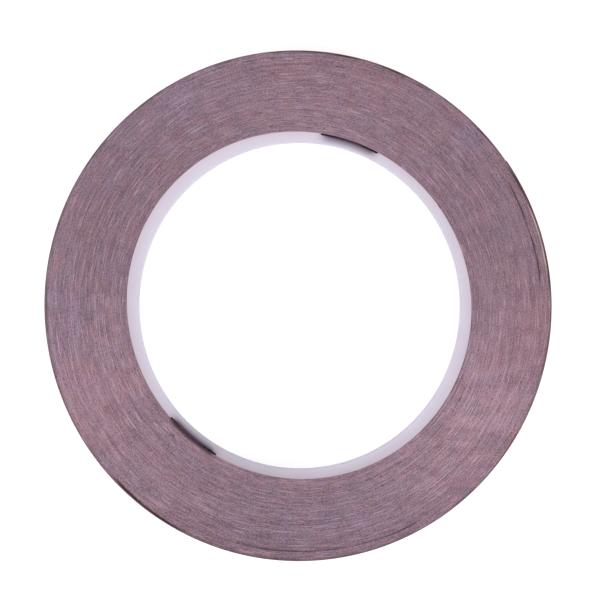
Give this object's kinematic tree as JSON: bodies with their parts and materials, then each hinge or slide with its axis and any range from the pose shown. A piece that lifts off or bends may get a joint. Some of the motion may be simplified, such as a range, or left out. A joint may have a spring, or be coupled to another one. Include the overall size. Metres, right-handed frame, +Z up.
{
  "type": "copper foil tape roll",
  "caption": "Roll of adhesive-backed copper foil tape with a paper liner, wound on a plastic ring core, for wrapping the edges of stained glass.",
  "frame": {"origin": "centre of the roll's lower face, which is the bottom centre of its box", "axes": "+Z up through the bore, away from the face that the roll lies on and towards the face with the notches; the free end's hinge line is 10 degrees round from +X towards +Y"},
  "size_m": [0.1193, 0.1201, 0.0057],
  "materials": {
    "core_plastic": "smooth white moulded plastic, faintly lavender and slightly translucent",
    "tape_edges": "slit edges of copper foil and paper, tightly wound, matt mauve",
    "liner_paper": "thin smooth release paper",
    "copper_foil": "rolled copper foil, satin, with fine lines along its length"
  },
  "bodies": {
    "roll": {"core": "core_plastic", "wound_tape": "tape_edges", "outer_turn_liner": "liner_paper", "outer_turn_foil": "copper_foil"},
    "lifting_end": {"liner_end": "liner_paper", "foil_bend": "copper_foil"},
    "peeling_foil": {"foil_end": "copper_foil"}
  },
  "joints": [
    {"name": "end_lift", "type": "hinge", "parent": "roll", "child": "lifting_end", "pos_m": [0.05868, 0.01035, 0.00285], "axis": [0, 0, -1], "range_deg": [0, 75]},
    {"name": "foil_peel", "type": "hinge", "parent": "lifting_end", "child": "peeling_foil", "pos_m": [0.05764, 0.01544, 0.00285], "axis": [0, 0, -1], "range_deg": [0, 60]}
  ]
}
